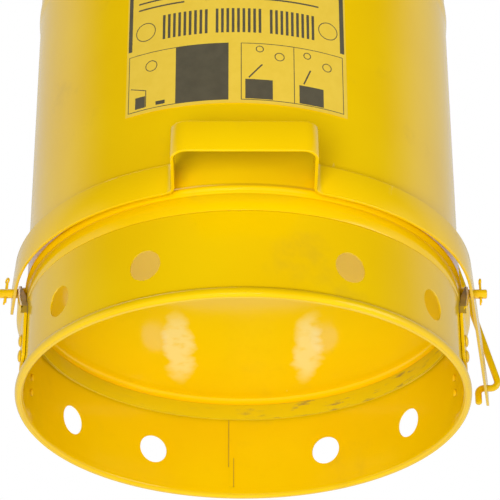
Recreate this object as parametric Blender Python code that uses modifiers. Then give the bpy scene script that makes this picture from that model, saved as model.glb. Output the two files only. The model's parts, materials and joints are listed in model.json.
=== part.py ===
"""Foot-operated oily waste can, 6 gallon size.

Metres, +Z up, front to -Y. The origin is on the floor under the middle of the whole object's
plan, and the code below works from the can's own centre line, which PLAN_CENTRE places.
A vented base skirt carries a straight-sided shell with a bottom pan. A domed lid swings on a
shaft behind the shell. A strip pedal yoke turns on two pins, and its long right arm pushes a
wire rod up against a crank on the lid's shaft.
"""

import math

import bmesh
import bpy
from mathutils import Matrix, Quaternion, Vector

# Driving dimensions
FOOT_RADIUS = 0.1510
TOTAL_HEIGHT = 0.4030
WALL_RADIUS = 0.1464
SHEET = 0.0008
GAP = 0.0003
STEPS = 48

# Middle of the whole object in plan, measured from the can's centre line
PLAN_CENTRE = (0.011931, -0.013250)

# Base skirt and its vent holes
SKIRT_RADIUS = WALL_RADIUS + 0.0001
LAP_HEIGHT = 0.0631
TUCK_TOP = 0.0720
FOOT_BEAD = (0.0028, 0.00365)
FOOT_FLAT = 0.0010
FOOT_START = 127
VENT_HEIGHT = 0.0309
VENT_RADIUS = 0.0104
VENT_AZIMUTHS = (25.8, 54.4, 126.2, 154.9, -25.8, -54.4, -126.2, -154.9)
VENT_TURN = 1.0

# Bottom pan
PAN_HEIGHT = 0.0770
PAN_FLANGE_BOTTOM = 0.0601
PAN_FLANGE_RADIUS = WALL_RADIUS - 2 * SHEET - 2 * GAP
PAN_STEP = (0.0718, 0.0726)

# Shell beads: lowest point, highest point and how far they stand out
LOWER_BEAD = (0.0766, 0.0832, 0.0009)
UPPER_BEAD = (0.2907, 0.3133, 0.0009)
CURL_RADIUS = 0.0021
CURL_CENTRE = (WALL_RADIUS + 0.0012, 0.3814)

# Lid
LID_SHEET = 0.0009
LID_SHOULDER_RADIUS = 0.0040
LID_SHOULDER_CENTRE = (FOOT_RADIUS - LID_SHOULDER_RADIUS, 0.3810)
LID_RIM_BOTTOM = 0.3690
LID_RIVET_X = 0.0180
LID_RIVET_YS = (0.1085, 0.1310)

# Hinge behind the shell
HINGE_Y = 0.1630
HINGE_Z = 0.3660
SHAFT_RADIUS = 0.0040
SHAFT_LEFT = -0.0420
SHAFT_RIGHT = 0.1060
SHAFT_COTTER_X = SHAFT_LEFT + 0.0045
STRAP_WIDTH = 0.0560
STRAP_THICKNESS = 0.0025
STRAP_FRONT = 0.0960
STRAP_KNEE = (0.1534, 0.3856)
STRAP_BEND = 0.0045
STRAP_EYE_RADIUS = 0.0072
HINGE_PLATE_SHEET = 0.0020
HINGE_PLATE_HALF_ANGLE = 17.0
HINGE_PLATE_HEIGHTS = (0.3200, 0.3540)
HINGE_RIVET_ANGLE = 7.5
HINGE_RIVET_HEIGHTS = (0.3285, 0.3450)
EAR_X = 0.0305
EAR_THICKNESS = 0.0025
EAR_RADIUS = 0.0080
EAR_BACK = 0.1443
EAR_HEIGHTS = (0.3230, 0.3470)

# Crank: the ends' radii are at the shaft and at the rod
CRANK_X = 0.1022
CRANK_THICKNESS = 0.0030
CRANK_LENGTH = 0.0290
CRANK_ANGLE = 30.0
CRANK_END_RADII = (0.0080, 0.0072)
CRANK_SLOT = 0.0050
CRANK_PLAY = 0.0011

# Pedal yoke: an upright strip bent round the front of the can
BAND_HEIGHT = 0.0210
BAND_THICKNESS = 0.0020
RING_RADIUS = 0.1540
ARM_SLOPE = 0.16
TAB_FRONT = 0.1965
TAB_HALF_WIDTH = 0.0443
TAB_CORNER = 0.0095
TAB_FILLET = 0.0080
LEFT_ARM_END = 0.0136
RIGHT_ARM_END = 0.1500
PIVOT_Z = 0.0850
ROD_Y = 0.1420
YOKE_PLAY = 0.0006

# Pivot pins and their brackets
PIN_RADIUS = 0.003175
PIN_TIP = 0.1656
PIN_HEAD_START = 0.1478
PIN_HEAD_RADIUS = 0.0050
PIN_HEAD_THICKNESS = 0.0022
PIN_CHAMFER = 0.0005
COTTER_X = 0.1613
BRACKET_SHEET = 0.0020
BRACKET_LOW_RADIUS = SKIRT_RADIUS + GAP
BRACKET_HIGH_RADIUS = 0.1503
BRACKET_HALF_ANGLE = 13.5
BRACKET_BOTTOM = 0.0165
BRACKET_CORNER = 0.0060
BRACKET_SHOULDER = 0.0620
BRACKET_TOP = 0.0915
BRACKET_TOP_RADIUS = 0.0175
BRACKET_TOP_LEAN = 43.0
BRACKET_JOG = (0.0525, 0.0575)
BRACKET_RIVET_ANGLE = 10.4
BRACKET_RIVET_HEIGHTS = (0.0237, 0.0346)

# Rod and small hardware
ROD_RADIUS = 0.0025
ROD_TOP_X = 0.1156
ROD_TOP_LENGTH = 0.0245
ROD_COTTER_X = ROD_TOP_X - 0.0210
ROD_BEND = 0.0055
HOOK_BEND = 0.0045
HOOK_INSET = 0.0062
HOOK_DROP = 0.0115
HOOK_REACH = 0.0100
WASHER_RADIUS = 0.0062
WASHER_THICKNESS = 0.0012
RIVET_SHANK = 0.0021
RIVET_HEAD = (0.0042, 0.0017)
RIVET_TAIL = (0.0031, 0.0014)
RIVET_TAIL_GAP = 0.0007
COTTER_WIRE = 0.00055
COTTER_HOLE = 0.00135
COTTER_EYE = 0.0016

# Front label
LABEL_AZIMUTH = -2.2
LABEL_HALF_ANGLE = 29.2
LABEL_BOTTOM = 0.1425
LABEL_TOP = 0.2820
LABEL_THICKNESS = 0.00025

PARTS = bpy.data.collections.new("oily_waste_can")
CUTTERS = bpy.data.collections.new("cutters")
CAN_AXIS = bpy.data.objects.new("can_axis", None)


def clear_scene():
    for obj in list(bpy.data.objects):
        if obj != CAN_AXIS:
            bpy.data.objects.remove(obj, do_unlink=True)
    bpy.context.scene.collection.children.link(PARTS)
    bpy.context.scene.collection.children.link(CUTTERS)
    CAN_AXIS.location = (-PLAN_CENTRE[0], -PLAN_CENTRE[1], 0.0)
    PARTS.objects.link(CAN_AXIS)


def material(name, colour, roughness, metallic=0.0):
    """A Principled BSDF material."""
    mat = bpy.data.materials.new(name)
    mat.use_nodes = True
    shader = mat.node_tree.nodes["Principled BSDF"]
    shader.inputs["Base Color"].default_value = (*colour, 1.0)
    shader.inputs["Roughness"].default_value = roughness
    shader.inputs["Metallic"].default_value = metallic
    mat.diffuse_color = (*colour, 1.0)
    return mat


def place(obj, mat, joint=None):
    """Puts a finished piece in the parts collection, under the can's axis or a joint's empty."""
    PARTS.objects.link(obj)
    obj.data.materials.append(mat)
    obj.parent = joint or CAN_AXIS
    if joint:
        obj.matrix_parent_inverse = joint.matrix_basis.inverted()
    return obj


def pivot_empty(name, location):
    empty = bpy.data.objects.new(name, None)
    empty.location = location
    empty.empty_display_size = 0.02
    empty.parent = CAN_AXIS
    PARTS.objects.link(empty)
    return empty


def wall_point(radius, azimuth, height):
    """A point at an azimuth in degrees from the front (-Y) towards +X."""
    angle = math.radians(azimuth)
    return Vector((radius * math.sin(angle), -radius * math.cos(angle), height))


def arc(centre, radius, start, end, count):
    """Points along an arc in degrees, both ends included."""
    points = []
    for i in range(count + 1):
        angle = math.radians(start + (end - start) * i / count)
        points.append((centre[0] + radius * math.cos(angle), centre[1] + radius * math.sin(angle)))
    return points


def turned_object(name, profile, closed=True, steps=STEPS, angle=360.0):
    """A profile of (radius, height) points turned about Z by a Screw modifier."""
    mesh = bpy.data.meshes.new(name)
    verts = [(r, 0.0, z) for r, z in profile]
    edges = [(i, i + 1) for i in range(len(verts) - 1)]
    if closed:
        edges.append((len(verts) - 1, 0))
    mesh.from_pydata(verts, edges, [])
    obj = bpy.data.objects.new(name, mesh)
    screw = obj.modifiers.new("turn", "SCREW")
    screw.axis = "Z"
    screw.angle = math.radians(angle)
    screw.steps = steps
    screw.render_steps = steps
    screw.use_merge_vertices = angle == 360.0
    screw.merge_threshold = 0.00001
    screw.use_smooth_shade = True
    return obj


def sector(name, profile, azimuth, half_angle, thickness, steps):
    """A curved sheet: an open profile turned part way round the can and given a thickness."""
    obj = turned_object(name, profile, closed=False, steps=steps, angle=2 * half_angle)
    obj.rotation_euler[2] = math.radians(azimuth - 90.0 - half_angle)
    solid = obj.modifiers.new("thickness", "SOLIDIFY")
    solid.thickness = thickness
    solid.offset = 1.0
    solid.use_even_offset = True
    return obj


def meshed(obj):
    """A curve object turned into a welded mesh object in the same place."""
    holder = bpy.context.scene.collection
    holder.objects.link(obj)
    bpy.context.view_layer.update()
    evaluated = obj.evaluated_get(bpy.context.evaluated_depsgraph_get())
    mesh = bpy.data.meshes.new_from_object(evaluated)
    bm = bmesh.new()
    bm.from_mesh(mesh)
    bmesh.ops.remove_doubles(bm, verts=bm.verts, dist=0.000001)
    bmesh.ops.recalc_face_normals(bm, faces=bm.faces)
    bm.to_mesh(mesh)
    bm.free()
    mesh.materials.clear()
    solid = bpy.data.objects.new(obj.name, mesh)
    solid.matrix_world = obj.matrix_world.copy()
    name = obj.name
    bpy.data.objects.remove(obj, do_unlink=True)
    solid.name = name
    return solid


def slab(name, outline, thickness, matrix):
    """A flat outline given a thickness, half to each side of its own XY plane."""
    curve = bpy.data.curves.new(name, "CURVE")
    curve.dimensions = "2D"
    curve.fill_mode = "BOTH"
    curve.extrude = thickness / 2
    spline = curve.splines.new("POLY")
    spline.points.add(len(outline) - 1)
    for point, (x, y) in zip(spline.points, outline):
        point.co = (x, y, 0.0, 1.0)
    spline.use_cyclic_u = True
    obj = bpy.data.objects.new(name, curve)
    obj.matrix_world = matrix
    return meshed(obj)


def side_plane(x):
    """Local X, Y and Z become the can's Y, Z and X, at a distance x from the middle."""
    columns = ((0, 0, 1, x), (1, 0, 0, 0), (0, 1, 0, 0), (0, 0, 0, 1))
    return Matrix(columns)


def wire(name, points, radius):
    """A round wire along a polyline."""
    curve = bpy.data.curves.new(name, "CURVE")
    curve.dimensions = "3D"
    curve.bevel_depth = radius
    curve.bevel_resolution = 2
    curve.use_fill_caps = True
    spline = curve.splines.new("POLY")
    spline.points.add(len(points) - 1)
    for point, co in zip(spline.points, points):
        point.co = (*co, 1.0)
    return bpy.data.objects.new(name, curve)


def rounded(corners, radius, count):
    """A polyline with its inner corners rounded to a bend radius."""
    path = [Vector(corners[0])]
    for before, corner, after in zip(corners, corners[1:], corners[2:]):
        corner = Vector(corner)
        back = (Vector(before) - corner).normalized()
        ahead = (Vector(after) - corner).normalized()
        half = back.angle(ahead) / 2
        centre = corner + (back + ahead).normalized() * (radius / math.sin(half))
        start = corner + back * (radius / math.tan(half)) - centre
        end = corner + ahead * (radius / math.tan(half)) - centre
        axis, angle = start.cross(end), start.angle(end)
        for i in range(count + 1):
            path.append(centre + Quaternion(axis, angle * i / count) @ start)
    path.append(Vector(corners[-1]))
    return path


def band(centre_line, thickness):
    """The outline of a strip of even thickness along a plane centre line."""
    left, right = [], []
    last = len(centre_line) - 1
    for i, point in enumerate(centre_line):
        before = Vector(centre_line[max(i - 1, 0)])
        after = Vector(centre_line[min(i + 1, last)])
        along = (after - before).normalized()
        side = Vector((-along[1], along[0])) * thickness / 2
        left.append(tuple(Vector(point) + side))
        right.append(tuple(Vector(point) - side))
    return left + right[::-1]


def rod_solid(name, radius, length, centre, direction, segments=16):
    """A plain round bar with its middle at centre."""
    mesh = bpy.data.meshes.new(name)
    bm = bmesh.new()
    bmesh.ops.create_cone(bm, cap_ends=True, segments=segments, radius1=radius,
                          radius2=radius, depth=length)
    bm.to_mesh(mesh)
    bm.free()
    obj = bpy.data.objects.new(name, mesh)
    obj.location = centre
    obj.rotation_mode = "QUATERNION"
    obj.rotation_quaternion = Vector(direction).to_track_quat("Z", "Y")
    return obj


def combine(target, other, operation):
    """Adds a Boolean modifier whose other solid is kept out of the parts."""
    CUTTERS.objects.link(other)
    other.parent = CAN_AXIS
    other.hide_render = True
    other.display_type = "WIRE"
    modifier = target.modifiers.new(operation.lower(), "BOOLEAN")
    modifier.operation = operation
    modifier.object = other
    modifier.solver = "EXACT"
    return target


def drill(target, radius, length, centre, direction, segments=16):
    cutter = rod_solid(target.name + "_hole", radius, length, centre, direction, segments)
    return combine(target, cutter, "DIFFERENCE")


def aimed(obj, location, direction):
    """Sets a turned piece at a place with its own Z along a direction."""
    obj.location = location
    obj.rotation_mode = "QUATERNION"
    obj.rotation_quaternion = Vector(direction).to_track_quat("Z", "Y")
    return obj


def bead_points(bead, radius, count=4):
    """A shallow rounded bead on an outer wall, from its top edge to its bottom edge."""
    low, high, height = bead
    points = []
    for i in range(count + 1):
        share = i / count
        points.append((radius + height * math.sin(math.pi * share), high + (low - high) * share))
    return points


def make_body_shell(mat):
    """The straight wall with two shallow beads and a curl at its open top."""
    curl = arc(CURL_CENTRE, CURL_RADIUS, 90, -124.8, 8)
    outer = bead_points(UPPER_BEAD, WALL_RADIUS) + bead_points(LOWER_BEAD, WALL_RADIUS)
    crease = [(WALL_RADIUS - 0.0002, LOWER_BEAD[0] - 0.0004), (WALL_RADIUS, LOWER_BEAD[0] - 0.0010)]
    inner_radius = WALL_RADIUS - SHEET
    foot = [(WALL_RADIUS, LAP_HEIGHT), (inner_radius, LAP_HEIGHT)]
    lip = [(inner_radius, CURL_CENTRE[1] - 0.0006)] + arc(CURL_CENTRE, CURL_RADIUS, 165, 127, 1)
    obj = turned_object("body_shell", curl + outer + crease + foot + lip)
    for azimuth, height in hinge_rivet_places():
        direction = wall_point(1.0, azimuth, 0.0)
        drill(obj, RIVET_SHANK + GAP, 0.006, wall_point(WALL_RADIUS, azimuth, height), direction, 12)
    return place(obj, mat)


def foot_bead():
    """The rolled foot from the skirt's outer wall round to its inner wall, flat underneath."""
    half_width, half_height = FOOT_BEAD
    middle = FOOT_RADIUS - half_width

    def oval(start, end, count):
        unit = arc((0.0, 0.0), 1.0, start, end, count)
        return [(middle + half_width * x, half_height * (1 + z)) for x, z in unit]

    flat = [(middle + FOOT_FLAT, 0.0), (middle - FOOT_FLAT, 0.0)]
    return oval(FOOT_START, -45, 6) + flat + oval(-135, -180, 2)


def make_base_skirt(mat):
    """The vented skirt: a rolled foot, a plain wall and a top edge joggled in behind the shell."""
    outer = SKIRT_RADIUS
    inner = SKIRT_RADIUS - SHEET
    tuck = WALL_RADIUS - SHEET - GAP
    ledge = LAP_HEIGHT - GAP
    wall = [(tuck, TUCK_TOP), (tuck, ledge), (outer, ledge)]
    inside = [(inner, 2 * FOOT_BEAD[1]), (inner, ledge - 0.0022),
              (tuck - SHEET, ledge - 0.0008), (tuck - SHEET, TUCK_TOP)]
    obj = turned_object("base_skirt", wall + foot_bead() + inside)
    for azimuth in VENT_AZIMUTHS:
        turned = azimuth + VENT_TURN
        drill(obj, VENT_RADIUS, 0.02, wall_point(WALL_RADIUS, turned, VENT_HEIGHT),
              wall_point(1.0, turned, 0.0), 24)
    for side in (-1, 1):
        for azimuth, height in bracket_rivet_places(side):
            drill(obj, RIVET_SHANK + GAP, 0.006, wall_point(WALL_RADIUS, azimuth, height),
                  wall_point(1.0, azimuth, 0.0), 12)
    return place(obj, mat)


def make_bottom_pan(mat):
    """The floor of the can, a shallow inverted pan whose flange hangs inside the skirt."""
    rim = WALL_RADIUS - SHEET - GAP
    flange = PAN_FLANGE_RADIUS
    top = PAN_HEIGHT + SHEET
    outside = [(0.0, top), (rim - 0.0025, top), (rim - 0.0007, top - 0.0007), (rim, top - 0.0024),
               (rim, PAN_STEP[1]), (flange, PAN_STEP[0]), (flange, PAN_FLANGE_BOTTOM)]
    thin = flange - SHEET
    inside = [(thin, PAN_FLANGE_BOTTOM), (thin, PAN_STEP[0] - GAP), (rim - SHEET, PAN_STEP[1] + GAP),
              (rim - SHEET, top - 0.0026), (rim - 0.0014, top - 0.0014), (rim - 0.0027, PAN_HEIGHT),
              (0.0, PAN_HEIGHT)]
    obj = turned_object("bottom_pan", outside + inside, closed=False)
    return place(obj, mat)


def dome_height(radius, top):
    """Height of a spherical dome that falls from top at the middle to the lid's shoulder."""
    edge, base = LID_SHOULDER_CENTRE[0], LID_SHOULDER_CENTRE[1] + LID_SHOULDER_RADIUS
    rise = TOTAL_HEIGHT - base
    sphere = (edge * edge + rise * rise) / (2 * rise)
    return top - (sphere - math.sqrt(sphere * sphere - radius * radius))


def make_lid_cover(mat, hinge):
    """The domed lid with a turned-down rim that overlaps the shell's curl."""
    edge = LID_SHOULDER_CENTRE[0]
    under = TOTAL_HEIGHT - LID_SHEET
    reach = [edge * share for share in (0.0, 0.25, 0.5, 0.75, 0.9)]
    outside = [(r, dome_height(r, TOTAL_HEIGHT)) for r in reach]
    outside += arc(LID_SHOULDER_CENTRE, LID_SHOULDER_RADIUS, 90, 0, 3)
    rim = [(FOOT_RADIUS, LID_RIM_BOTTOM), (FOOT_RADIUS - LID_SHEET, LID_RIM_BOTTOM)]
    inside = arc(LID_SHOULDER_CENTRE, LID_SHOULDER_RADIUS - LID_SHEET, 0, 90, 3)
    inside += [(r, dome_height(r, under)) for r in reversed(reach)]
    obj = turned_object("lid_cover", outside + rim + inside, closed=False)
    for centre, normal in lid_rivet_places():
        drill(obj, RIVET_SHANK + GAP, 0.010, centre, normal, 12)
    return place(obj, mat, hinge)


def lid_rivet_places():
    """Four rivets through the hinge strap and the lid, square to the dome."""
    places = []
    for y in LID_RIVET_YS:
        for x in (-LID_RIVET_X, LID_RIVET_X):
            radius = math.hypot(x, y)
            height = dome_height(radius, TOTAL_HEIGHT)
            slope = (dome_height(radius - 0.001, 0.0) - dome_height(radius + 0.001, 0.0)) / 0.002
            places.append((Vector((x, y, height)), Vector((0.0, slope, 1.0)).normalized()))
    return places


def make_lid_hinge_strap(mat, hinge):
    """A bent strap from the top of the lid to an eye round the shaft."""
    lift = GAP + STRAP_THICKNESS / 2
    edge = LID_SHOULDER_CENTRE[0]
    reach = [STRAP_FRONT + (edge - STRAP_FRONT) * i / 4 for i in range(5)]
    line = [Vector((y, dome_height(y, TOTAL_HEIGHT) + lift)) for y in reach]
    knee = [line[-1].to_tuple(), STRAP_KNEE, (HINGE_Y - 0.0036, HINGE_Z + 0.0052)]
    bend = rounded([(*p, 0.0) for p in knee], STRAP_BEND, 4)
    path = line[:-1] + [Vector(p[:2]) for p in bend]
    obj = slab("lid_hinge_strap", band(path, STRAP_THICKNESS), STRAP_WIDTH, side_plane(0.0))
    eye = rod_solid("strap_eye", STRAP_EYE_RADIUS, STRAP_WIDTH, (0.0, HINGE_Y, HINGE_Z), (1, 0, 0), 24)
    combine(obj, eye, "UNION")
    drill(obj, SHAFT_RADIUS + GAP, STRAP_WIDTH * 2, (0.0, HINGE_Y, HINGE_Z), (1, 0, 0), 20)
    for centre, normal in lid_rivet_places():
        drill(obj, RIVET_SHANK + GAP, 0.010, centre, normal, 12)
    return place(obj, mat, hinge)


def hinge_rivet_places():
    azimuths = (180 - HINGE_RIVET_ANGLE, 180 + HINGE_RIVET_ANGLE)
    return [(azimuth, height) for azimuth in azimuths for height in HINGE_RIVET_HEIGHTS]


def ear_outline():
    """A plate that narrows from the bracket's back to a round end about the shaft."""
    low, high = EAR_HEIGHTS
    return arc((HINGE_Y, HINGE_Z), EAR_RADIUS, 158, -40, 10) + [(EAR_BACK, low), (EAR_BACK, high)]


def make_body_hinge_bracket(mat):
    """The fixed half of the hinge: a curved back plate with two ears."""
    radius = WALL_RADIUS + GAP
    low, high = HINGE_PLATE_HEIGHTS
    profile = [(radius, high), (radius, low)]
    obj = sector("body_hinge_bracket", profile, 180, HINGE_PLATE_HALF_ANGLE, HINGE_PLATE_SHEET, 10)
    for side in (-1, 1):
        ear = slab("hinge_ear", ear_outline(), EAR_THICKNESS, side_plane(side * EAR_X))
        combine(obj, ear, "UNION")
    drill(obj, SHAFT_RADIUS + GAP, 0.10, (0.0, HINGE_Y, HINGE_Z), (1, 0, 0), 20)
    for azimuth, height in hinge_rivet_places():
        drill(obj, RIVET_SHANK + GAP, 0.008, wall_point(radius, azimuth, height),
              wall_point(1.0, azimuth, 0.0), 12)
    return place(obj, mat)


def pin_profile(radius, length, chamfer):
    return [(0.0, length), (radius - chamfer, length), (radius, length - chamfer),
            (radius, chamfer), (radius - chamfer, 0.0), (0.0, 0.0)]


def make_hinge_shaft(mat, hinge):
    length = SHAFT_RIGHT - SHAFT_LEFT
    obj = turned_object("hinge_shaft", pin_profile(SHAFT_RADIUS, length, 0.0006), False, 20)
    aimed(obj, (SHAFT_LEFT, HINGE_Y, HINGE_Z), (1, 0, 0))
    drill(obj, COTTER_HOLE, 0.02, (SHAFT_COTTER_X, HINGE_Y, HINGE_Z), (0, 0, 1), 12)
    return place(obj, mat, hinge)


def crank_pin_place():
    """Where the rod passes through the crank with the lid closed."""
    angle = math.radians(CRANK_ANGLE)
    return (HINGE_Y - CRANK_LENGTH * math.cos(angle), HINGE_Z - CRANK_LENGTH * math.sin(angle))


def link_outline(first, first_radius, second, second_radius):
    """A link with round ends about two points."""
    lean = math.degrees(math.atan2(first[1] - second[1], first[0] - second[0]))
    outline = arc(first, first_radius, lean + 90, lean - 90, 10)
    return outline + arc(second, second_radius, lean - 90, lean - 270, 10)


def make_lid_crank(mat, hinge):
    """The lever on the shaft's right end. The rod's hole is a short slot along the lever."""
    shaft = Vector((HINGE_Y, HINGE_Z))
    tip = Vector(crank_pin_place())
    outline = link_outline(shaft, CRANK_END_RADII[0], tip, CRANK_END_RADII[1])
    obj = slab("lid_crank", outline, CRANK_THICKNESS, side_plane(CRANK_X))
    drill(obj, SHAFT_RADIUS + GAP, 0.01, (CRANK_X, HINGE_Y, HINGE_Z), (1, 0, 0), 20)
    play = ROD_RADIUS + CRANK_PLAY
    slot_end = tip + (shaft - tip).normalized() * CRANK_SLOT
    slot = slab("crank_slot", link_outline(slot_end, play, tip, play), 0.01, side_plane(CRANK_X))
    combine(obj, slot, "DIFFERENCE")
    return place(obj, mat, hinge)


def yoke_half():
    """Centre line of one side of the yoke in plan, from the front's middle to the pivot side."""
    corner = (TAB_HALF_WIDTH - TAB_CORNER, -TAB_FRONT + TAB_CORNER)
    path = [(0.0, -TAB_FRONT)] + arc(corner, TAB_CORNER, -90, 0, 5)
    across = TAB_HALF_WIDTH + TAB_FILLET
    down = math.sqrt((RING_RADIUS + TAB_FILLET) ** 2 - across ** 2)
    start = math.degrees(math.atan2(across, down))
    path += arc((across, -down), TAB_FILLET, 180, 90 + start, 4)
    end = math.degrees(math.atan(1 / ARM_SLOPE))
    path += arc((0.0, 0.0), RING_RADIUS, start - 90, end - 90, 14)[1:]
    return path


def arm_x(y):
    """Distance of an arm's centre line from the middle, at a distance y behind the pivots."""
    end = math.atan(1 / ARM_SLOPE)
    return RING_RADIUS * math.sin(end) + ARM_SLOPE * (y + RING_RADIUS * math.cos(end))


def make_pedal_yoke(mat, pivot):
    """One upright strip: front tab, ring round the skirt, short left arm and long right arm."""
    half = yoke_half()
    right = half + [(arm_x(RIGHT_ARM_END), RIGHT_ARM_END)]
    left = [(-x, y) for x, y in half[1:]] + [(-arm_x(LEFT_ARM_END), LEFT_ARM_END)]
    path = [Vector(p) for p in left[::-1] + right]
    lift = Matrix.Translation((0.0, 0.0, PIVOT_Z))
    obj = slab("pedal_yoke", band(path, BAND_THICKNESS), BAND_HEIGHT, lift)
    for side in (-1, 1):
        drill(obj, PIN_RADIUS + YOKE_PLAY, 0.02, (side * arm_x(0.0), 0.0, PIVOT_Z), (1, 0, 0), 20)
    drill(obj, ROD_RADIUS + YOKE_PLAY, 0.02, (arm_x(ROD_Y), ROD_Y, PIVOT_Z), (1, 0, 0), 20)
    return place(obj, mat, pivot)


def bracket_rivet_places(side):
    """Four rivets round each bracket's lower half, as azimuths and heights."""
    azimuths = (90 - BRACKET_RIVET_ANGLE, 90 + BRACKET_RIVET_ANGLE)
    return [(side * a, h) for a in azimuths for h in BRACKET_RIVET_HEIGHTS]


def bracket_outline(half):
    """The strap seen from the side: round lower corners, and a top that narrows round the pin."""
    low, corner = BRACKET_BOTTOM + BRACKET_CORNER, BRACKET_CORNER
    crown = (0.0, BRACKET_TOP - BRACKET_TOP_RADIUS)
    outline = [(half, BRACKET_SHOULDER)]
    outline += arc(crown, BRACKET_TOP_RADIUS, BRACKET_TOP_LEAN, 180 - BRACKET_TOP_LEAN, 8)
    outline += [(-half, BRACKET_SHOULDER)]
    outline += arc((corner - half, low), corner, 180, 270, 4)
    outline += arc((half - corner, low), corner, 270, 360, 4)
    return outline


def make_pivot_bracket(side, mat):
    """A curved strap riveted to the skirt, jogged out at the top to hold the pin's head."""
    name = "pivot_bracket_right" if side > 0 else "pivot_bracket_left"
    profile = [(BRACKET_HIGH_RADIUS, BRACKET_TOP), (BRACKET_HIGH_RADIUS, BRACKET_JOG[1]),
               (BRACKET_LOW_RADIUS, BRACKET_JOG[0]), (BRACKET_LOW_RADIUS, BRACKET_BOTTOM)]
    obj = sector(name, profile, side * 90, BRACKET_HALF_ANGLE, BRACKET_SHEET, 8)
    half = FOOT_RADIUS * math.sin(math.radians(BRACKET_HALF_ANGLE)) - 0.0003
    frame = slab(name + "_outline", bracket_outline(half), 0.02, side_plane(side * 0.149))
    combine(obj, frame, "INTERSECT")
    drill(obj, PIN_RADIUS + GAP, 0.02, (side * FOOT_RADIUS, 0.0, PIVOT_Z), (1, 0, 0), 20)
    for azimuth, height in bracket_rivet_places(side):
        drill(obj, RIVET_SHANK + GAP, 0.010, wall_point(WALL_RADIUS, azimuth, height),
              wall_point(1.0, azimuth, 0.0), 12)
    return place(obj, mat)


def make_pivot_pin(side, mat):
    """A headed pin, head inside the bracket, with a cross hole near its tip."""
    name = "pivot_pin_right" if side > 0 else "pivot_pin_left"
    head = PIN_HEAD_THICKNESS
    length = PIN_TIP - PIN_HEAD_START
    profile = [(0.0, length), (PIN_RADIUS - PIN_CHAMFER, length), (PIN_RADIUS, length - PIN_CHAMFER),
               (PIN_RADIUS, head), (PIN_HEAD_RADIUS, head), (PIN_HEAD_RADIUS, 0.0), (0.0, 0.0)]
    obj = turned_object(name, profile, False, 20)
    aimed(obj, (side * PIN_HEAD_START, 0.0, PIVOT_Z), (side, 0, 0))
    drill(obj, COTTER_HOLE, 0.02, (side * COTTER_X, 0.0, PIVOT_Z), (0, 0, 1), 12)
    return place(obj, mat)


def cotter_path(above, below):
    """A hairpin in the YZ plane: one leg, a round eye at the top, and the other leg."""
    spread = COTTER_WIRE * 1.12
    eye_z = above - COTTER_EYE
    neck = eye_z - 1.4 * COTTER_EYE
    loop = arc((0.0, eye_z), COTTER_EYE, 247, -67, 10)
    points = [(-spread, -below), (-spread, neck)] + loop + [(spread, neck), (spread, -below)]
    return [(0.0, y, z) for y, z in points]


def make_cotter(name, place_at, above, below, mat, parent=None, turn=0.0):
    obj = wire(name, cotter_path(above, below), COTTER_WIRE)
    obj.location = place_at
    obj.rotation_euler[2] = math.radians(turn)
    return place(obj, mat, parent)


def make_rivet(name, seat, direction, grip, mat, parent=None):
    """A domed head at the seat, a shank through the grip and an upset end behind it."""
    head, height = RIVET_HEAD
    tail, tail_height = RIVET_TAIL
    profile = [(0.0, height), (head * 0.62, height * 0.78), (head, 0.0),
               (RIVET_SHANK, 0.0), (RIVET_SHANK, -grip), (tail, -grip),
               (tail * 0.7, -grip - tail_height), (0.0, -grip - tail_height)]
    obj = turned_object(name, profile, False, 10)
    aimed(obj, seat, direction)
    return place(obj, mat, parent)


def make_bracket_rivets(mat):
    seat = BRACKET_LOW_RADIUS + BRACKET_SHEET + GAP
    grip = seat - (SKIRT_RADIUS - SHEET - RIVET_TAIL_GAP)
    for side, label in ((-1, "left"), (1, "right")):
        for i, (azimuth, height) in enumerate(bracket_rivet_places(side)):
            make_rivet(f"bracket_rivet_{label}_{i + 1}", wall_point(seat, azimuth, height),
                       wall_point(1.0, azimuth, 0.0), grip, mat)


def make_hinge_rivets(mat):
    seat = WALL_RADIUS + GAP + HINGE_PLATE_SHEET + GAP
    grip = seat - (WALL_RADIUS - SHEET - RIVET_TAIL_GAP)
    for i, (azimuth, height) in enumerate(hinge_rivet_places()):
        make_rivet(f"hinge_rivet_{i + 1}", wall_point(seat, azimuth, height),
                   wall_point(1.0, azimuth, 0.0), grip, mat)


def make_lid_rivets(mat, hinge):
    for i, (centre, normal) in enumerate(lid_rivet_places()):
        seat = centre + normal * (STRAP_THICKNESS + 4 * GAP)
        grip = STRAP_THICKNESS + 4 * GAP + LID_SHEET + 0.0006
        make_rivet(f"lid_rivet_{i + 1}", seat, normal, grip, mat, hinge)


def make_linkage_rod(mat, joint):
    """A round wire: hook under the arm, through the arm, up to the crank and through it."""
    low_x = arm_x(ROD_Y)
    top_y, top_z = crank_pin_place()
    hook_x = low_x - HOOK_INSET
    corners = [(hook_x, ROD_Y, PIVOT_Z - HOOK_DROP), (hook_x, ROD_Y, PIVOT_Z),
               (low_x + HOOK_REACH, ROD_Y, PIVOT_Z), (ROD_TOP_X, top_y, top_z),
               (ROD_TOP_X - ROD_TOP_LENGTH, top_y, top_z)]
    hook = rounded(corners[:3], HOOK_BEND, 5)
    rest = rounded(corners[1:], ROD_BEND, 6)
    obj = meshed(wire("linkage_rod", hook[:-1] + rest[1:], ROD_RADIUS))
    drill(obj, COTTER_HOLE, 0.02, (ROD_COTTER_X, top_y, top_z), (0, 0, 1), 12)
    return place(obj, mat, joint)


def make_rod_washer(mat, joint):
    inner, outer = ROD_RADIUS + GAP, WASHER_RADIUS
    thick = WASHER_THICKNESS
    profile = [(outer, thick), (outer, 0.0), (inner, 0.0), (inner, thick)]
    obj = turned_object("rod_washer", profile, True, 20)
    aimed(obj, (ROD_COTTER_X + 0.0020, *crank_pin_place()), (1, 0, 0))
    return place(obj, mat, joint)


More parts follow.
